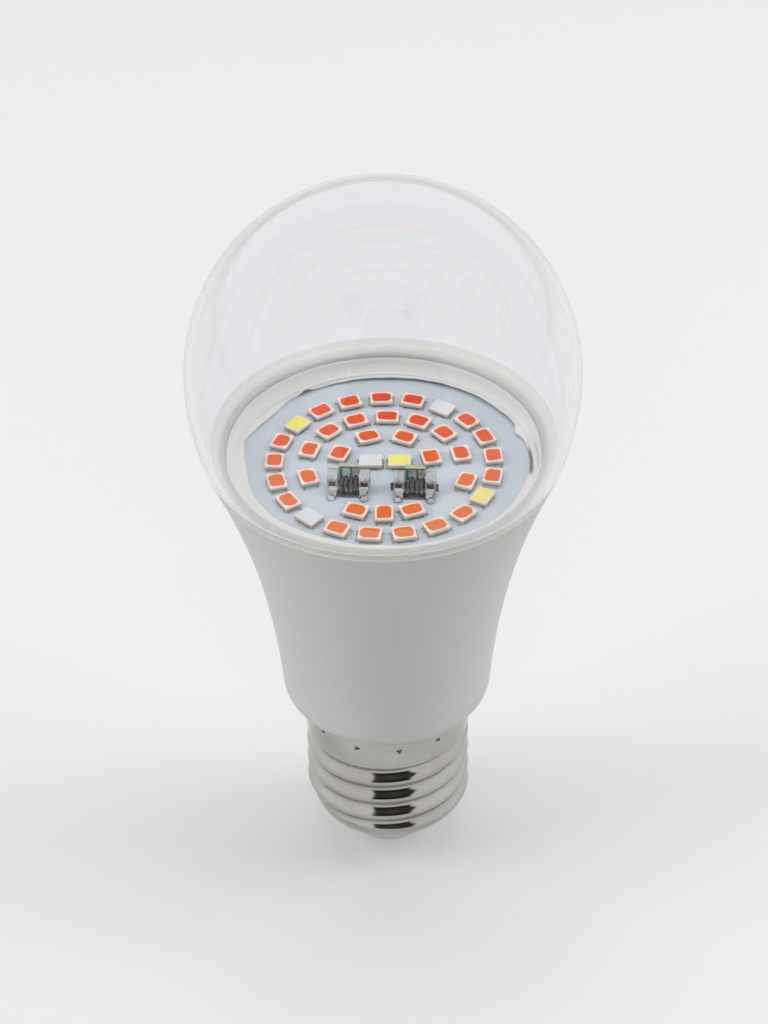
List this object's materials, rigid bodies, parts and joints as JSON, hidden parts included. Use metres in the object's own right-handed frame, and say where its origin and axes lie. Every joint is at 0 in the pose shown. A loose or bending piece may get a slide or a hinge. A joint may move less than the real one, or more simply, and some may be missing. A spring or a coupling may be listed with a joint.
{
  "type": "grow light bulb",
  "caption": "Clear-domed grow light bulb: red, white and blue light chips on a round board, white housing over an aluminium cup, plug-in driver and screw cap.",
  "frame": {"origin": "tip of the centre contact, on the bulb's axis", "axes": "+Z along the axis from the screw cap to the top of the dome; the two board clips lie in front, towards -Y"},
  "size_m": [0.06, 0.06, 0.12],
  "materials": {
    "dome_clear": "clear moulded, polished",
    "housing_white": "fine satin moulding",
    "cup_aluminium": "pressed, bare",
    "board_face": "white solder mask on aluminium, satin",
    "sealant": "white silicone, smooth",
    "light_frame": "white moulded",
    "red_gel": "orange-red phosphor gel",
    "white_gel": "yellow phosphor gel",
    "blue_gel": "clear gel",
    "tinned": "tinned, soft shine",
    "solder": "solder, smooth",
    "board_green": "green solder mask on glass fibre",
    "moulding_black": "moulded package",
    "chip_black": "chip resistor",
    "chip_tan": "chip capacitor",
    "can": "drawn can",
    "sleeve": "shrunk sleeve",
    "ferrite": "pressed ferrite",
    "magnet_wire": "enamelled copper",
    "film_body": "dipped body",
    "resistor_body": "painted body",
    "wire_cover": "wire insulation",
    "cap_nickel": "nickel plate, rolled",
    "insulator": "light grey moulding",
    "contact_metal": "nickel-plated, worn by the tool"
  },
  "bodies": {
    "root": {"diffuser_dome": "dome_clear", "outer_housing": "housing_white", "heat_sink_cup": "cup_aluminium", "light_board": "board_face", "sealing_bead": "sealant", "red_light_frames": "light_frame", "red_light_gels": "red_gel", "red_light_pads": "tinned", "white_light_frames": "light_frame", "white_light_gels": "white_gel", "white_light_pads": "tinned", "blue_light_frames": "light_frame", "blue_light_gels": "blue_gel", "blue_light_pads": "tinned", "left_board_clip": "tinned", "right_board_clip": "tinned", "clip_solder": "solder", "driver_board": "board_green", "tab_contacts": "tinned", "bridge_rectifier": "moulding_black", "driver_chip": "moulding_black", "flyback_diode": "moulding_black", "chip_resistors": "chip_black", "chip_capacitors": "chip_tan", "surface_leads": "tinned", "input_capacitor": "can", "input_capacitor_sleeve": "sleeve", "output_capacitor": "can", "output_capacitor_sleeve": "sleeve", "choke_core": "ferrite", "choke_winding": "magnet_wire", "film_capacitor": "film_body", "fuse_resistor": "resistor_body", "through_leads": "tinned", "driver_solder": "solder", "live_wire": "wire_cover", "neutral_wire": "tinned", "contact_solder": "solder", "screw_cap": "cap_nickel", "cap_insulator": "insulator", "centre_contact": "contact_metal"}
  },
  "joints": []
}
